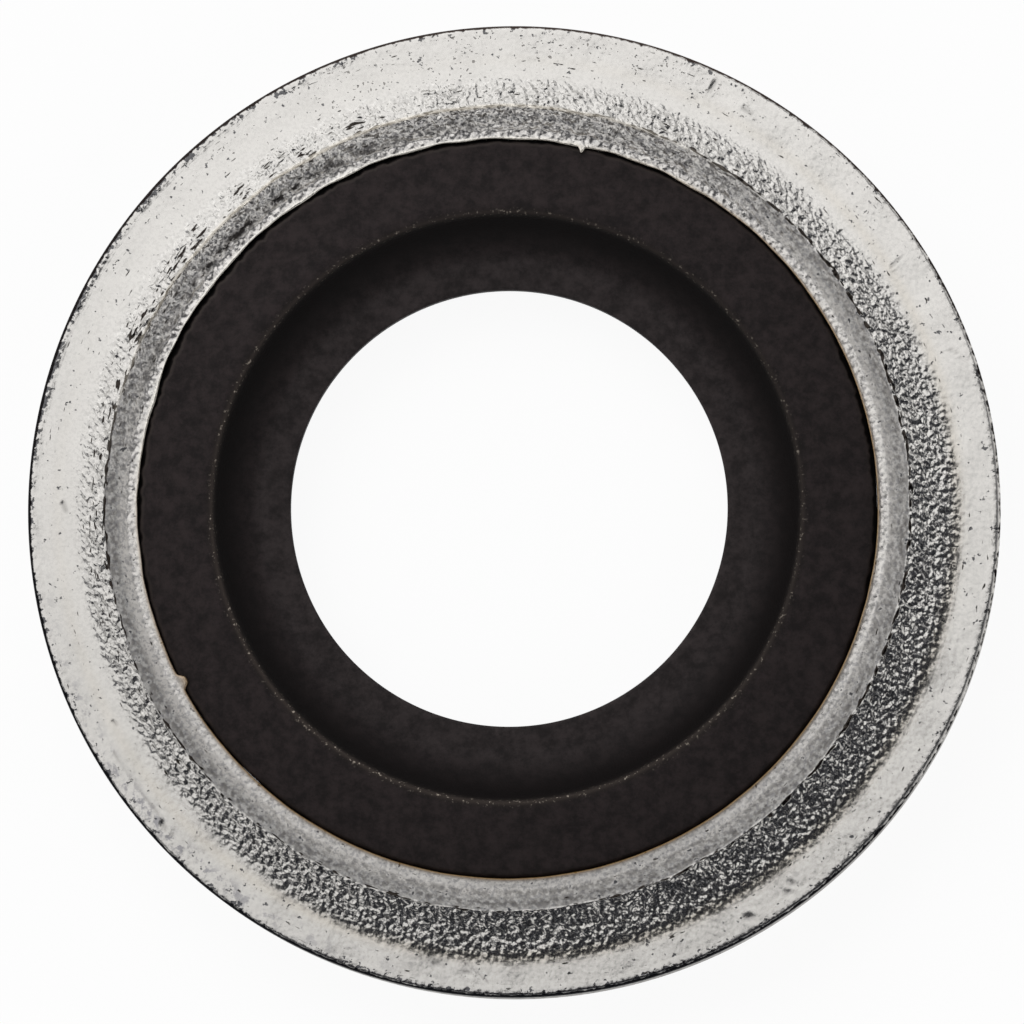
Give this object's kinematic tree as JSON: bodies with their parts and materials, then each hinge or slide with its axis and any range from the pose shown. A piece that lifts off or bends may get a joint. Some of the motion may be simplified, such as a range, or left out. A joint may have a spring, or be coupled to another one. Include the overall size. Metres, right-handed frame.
{
  "type": "bonded sealing washer",
  "caption": "Flat steel ring with a black rubber seal bonded into its hole, a raised lip on each face and a thin web that centres it on a thread.",
  "frame": {"origin": "centre of the steel ring's outside, at the level of the lower lip's crest, which the washer lies on", "axes": "+Z along the thread's axis, out of the face with the coined bevel; +X and +Y in the plane of the ring, with the hole punched off centre towards -X and +Y"},
  "size_m": [0.024, 0.024, 0.0027],
  "materials": {
    "zinc_plated_steel": "zinc plated, tumbled, satin with fine pits",
    "nitrile_rubber": "moulded, matt black"
  },
  "bodies": {
    "root": {"steel_ring": "zinc_plated_steel", "rubber_seal": "nitrile_rubber"}
  },
  "joints": []
}
